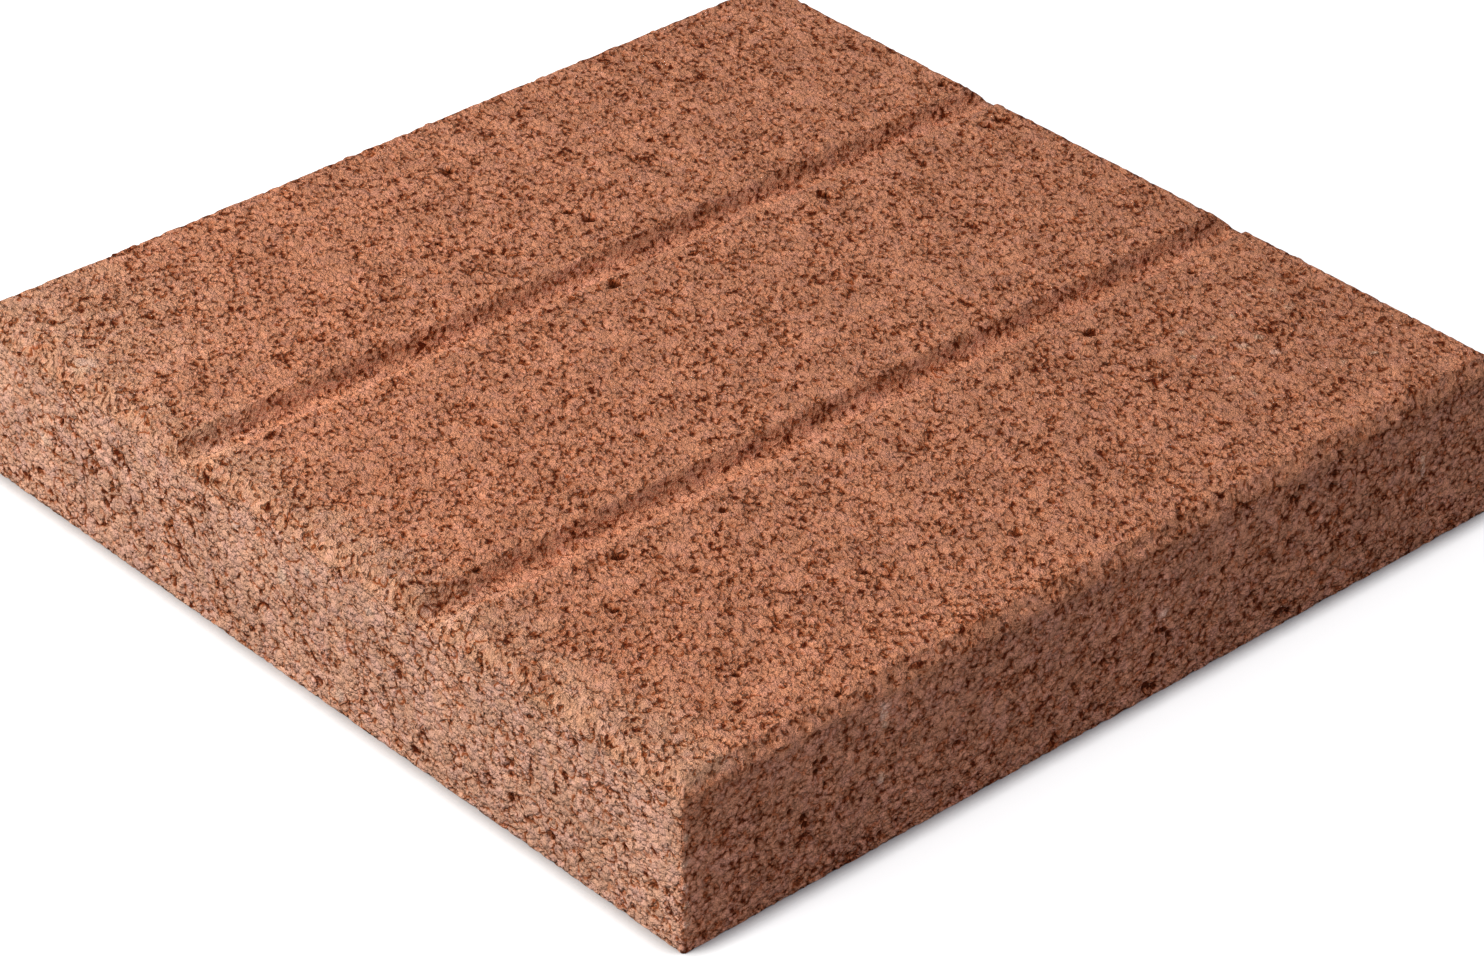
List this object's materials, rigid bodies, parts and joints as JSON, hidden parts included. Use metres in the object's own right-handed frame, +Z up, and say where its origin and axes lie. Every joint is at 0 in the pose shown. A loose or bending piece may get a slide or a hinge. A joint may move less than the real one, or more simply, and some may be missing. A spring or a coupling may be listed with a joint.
{
  "type": "concrete paving stone",
  "caption": "Square cast concrete paving stone with a sloped edge round its walking face and straight joint grooves across it.",
  "frame": {"origin": "middle of the bed face, on the ground that the stone lies on", "axes": "+Z up, out of the walking face; the joint grooves run along X; Y goes across them"},
  "size_m": [0.298, 0.298, 0.0508],
  "materials": {
    "red_concrete": "rough, open-grained dry-cast concrete, coloured brick red through its whole depth"
  },
  "bodies": {
    "root": {"paving_stone": "red_concrete"}
  },
  "joints": []
}
